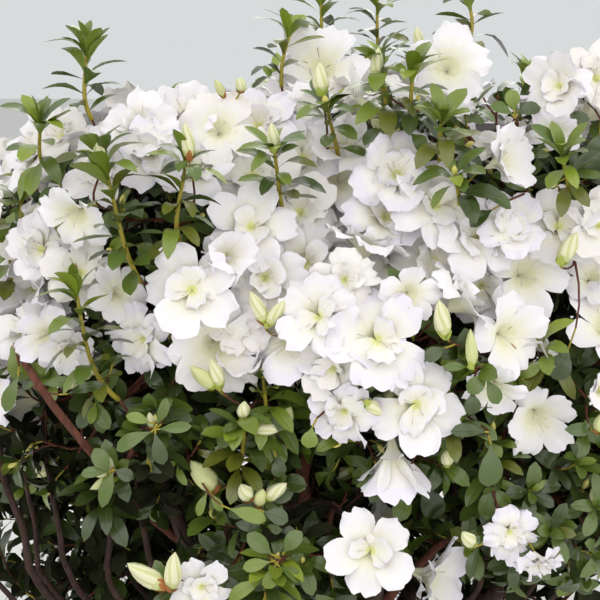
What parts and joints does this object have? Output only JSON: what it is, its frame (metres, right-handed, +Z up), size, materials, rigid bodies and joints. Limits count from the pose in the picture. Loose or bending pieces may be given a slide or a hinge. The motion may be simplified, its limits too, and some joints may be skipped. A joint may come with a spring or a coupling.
{
  "type": "azalea shrub",
  "caption": "Evergreen azalea shrub in full white flower: a short flared stump, spreading bare stems, a broad rounded crown of leafy masses, upright young shoots above it.",
  "frame": {"origin": "middle of the flat cut under the stump, at ground level", "axes": "+Z up, -Y the front that the picture shows, +X to the viewer's right"},
  "size_m": [0.95, 0.7711, 0.884],
  "materials": {
    "bark": "dark purple-brown, finely ridged, matt",
    "young_bark": "red-brown, smooth, slightly waxy",
    "blossom": "soft white petals with a faint cream and yellow-green throat, silky",
    "leaf": "dark green, glossy above, paler below",
    "young_leaf": "yellow-green, satin"
  },
  "bodies": {
    "root": {"trunk": "bark", "stem_1": "bark", "stem_2": "bark", "stem_3": "bark", "stem_4": "bark", "stem_5": "bark", "stem_6": "bark", "stem_7": "bark", "inner_stem_1": "bark", "inner_stem_2": "bark", "inner_stem_3": "bark", "bough_1": "young_bark", "bough_2": "young_bark", "bough_3": "young_bark", "bough_4": "young_bark", "bough_5": "young_bark", "bough_6": "young_bark", "bough_7": "young_bark", "bough_8": "young_bark", "bough_9": "young_bark", "bough_10": "young_bark", "bough_11": "young_bark", "foliage_top": "blossom", "foliage_upper_1": "blossom", "foliage_upper_2": "blossom", "foliage_upper_3": "blossom", "foliage_upper_4": "blossom", "foliage_upper_5": "blossom", "foliage_upper_6": "blossom", "foliage_middle_1": "blossom", "foliage_middle_2": "blossom", "foliage_middle_3": "blossom", "foliage_middle_4": "blossom", "foliage_middle_5": "blossom", "foliage_middle_6": "blossom", "foliage_middle_7": "blossom", "foliage_middle_8": "blossom", "foliage_skirt_1": "leaf", "foliage_skirt_2": "leaf", "foliage_skirt_3": "leaf", "foliage_skirt_4": "leaf", "foliage_skirt_5": "leaf", "foliage_skirt_6": "leaf", "shoot_1": "young_leaf", "shoot_2": "young_leaf", "shoot_3": "young_leaf", "shoot_4": "young_leaf", "shoot_5": "young_leaf", "shoot_6": "young_leaf", "shoot_7": "young_leaf", "shoot_8": "young_leaf", "shoot_9": "young_leaf", "shoot_10": "young_leaf", "shoot_11": "young_leaf", "shoot_12": "young_leaf"}
  },
  "joints": []
}
